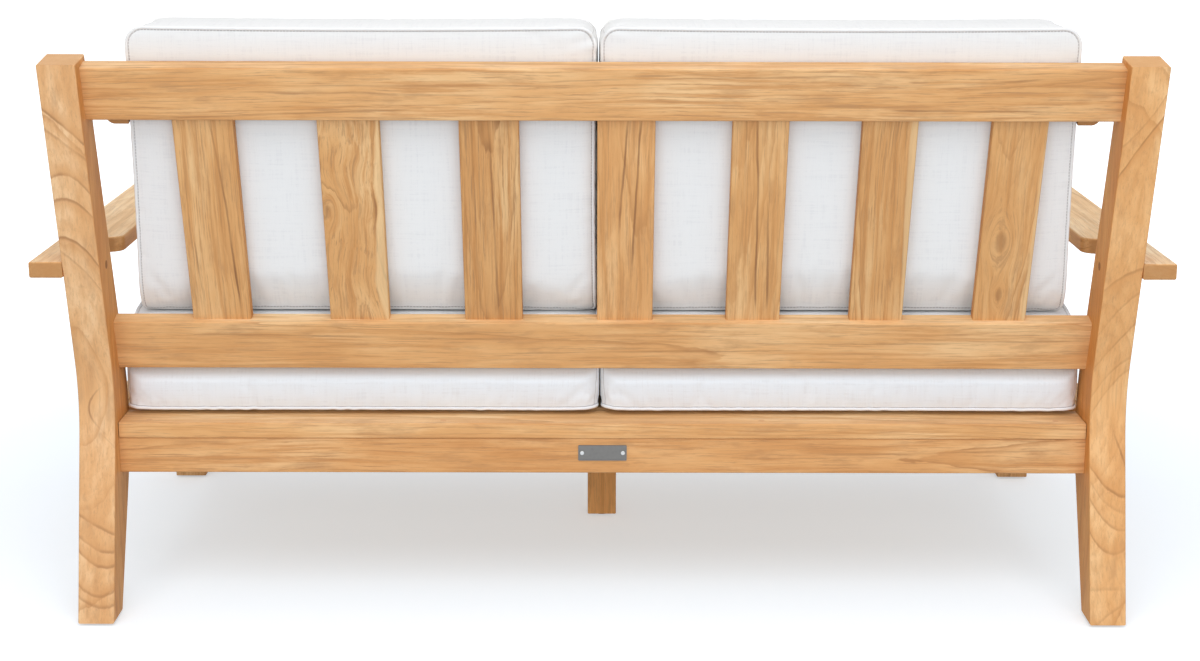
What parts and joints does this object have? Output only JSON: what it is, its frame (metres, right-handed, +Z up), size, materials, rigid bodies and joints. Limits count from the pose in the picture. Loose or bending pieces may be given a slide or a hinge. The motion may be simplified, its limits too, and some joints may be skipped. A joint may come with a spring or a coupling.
{
  "type": "patio loveseat",
  "caption": "Slatted hardwood patio loveseat with a leaning back, broad armrests and loose seat and back cushions.",
  "frame": {"origin": "middle of the footprint's box, on the ground under the glides", "axes": "+X to the sitter's left, -Y to the front, +Z up"},
  "size_m": [1.594, 0.7874, 0.8481],
  "materials": {
    "teak": "satin",
    "cushion_fabric": "matte",
    "stainless_steel": "satin",
    "plate_metal": "satin",
    "glide_plastic": "matte"
  },
  "bodies": {
    "frame": {"armrest_bolts": "stainless_steel", "armrest_left": "teak", "armrest_right": "teak", "back_slat_1": "teak", "back_slat_2": "teak", "back_slat_3": "teak", "back_slat_4": "teak", "back_slat_5": "teak", "back_slat_6": "teak", "back_slat_7": "teak", "blank_plate": "plate_metal", "bolt_plugs": "teak", "centre_bearer": "teak", "centre_glide": "glide_plastic", "centre_leg": "teak", "cushion_stop_left": "teak", "cushion_stop_right": "teak", "front_apron": "teak", "front_glide_left": "glide_plastic", "front_glide_right": "glide_plastic", "front_leg_left": "teak", "front_leg_right": "teak", "front_seat_board": "teak", "lower_back_rail": "teak", "plate_screws": "stainless_steel", "rear_apron": "teak", "rear_glide_left": "glide_plastic", "rear_glide_right": "glide_plastic", "rear_post_left": "teak", "rear_post_right": "teak", "rear_seat_board": "teak", "seat_board_1": "teak", "seat_board_2": "teak", "seat_board_3": "teak", "seat_board_4": "teak", "seat_board_5": "teak", "seat_board_6": "teak", "seat_board_screws": "stainless_steel", "seat_ledger_left": "teak", "seat_ledger_right": "teak", "side_apron_left": "teak", "side_apron_right": "teak", "top_back_rail": "teak"},
    "seat_cushion_left": {"seat_cushion_left": "cushion_fabric"},
    "seat_cushion_right": {"seat_cushion_right": "cushion_fabric"},
    "back_cushion_left": {"back_cushion_left": "cushion_fabric"},
    "back_cushion_right": {"back_cushion_right": "cushion_fabric"}
  },
  "joints": [
    {"name": "seat_cushion_left_slide", "type": "slide", "parent": "frame", "child": "seat_cushion_left", "axis": [0, -1, 0], "range_m": [0, 0.62]},
    {"name": "back_cushion_left_lift", "type": "slide", "parent": "frame", "child": "back_cushion_left", "axis": [0, 0, 1], "range_m": [0, 0.42]},
    {"name": "seat_cushion_right_slide", "type": "slide", "parent": "frame", "child": "seat_cushion_right", "axis": [0, -1, 0], "range_m": [0, 0.62]},
    {"name": "back_cushion_right_lift", "type": "slide", "parent": "frame", "child": "back_cushion_right", "axis": [0, 0, 1], "range_m": [0, 0.42]}
  ]
}
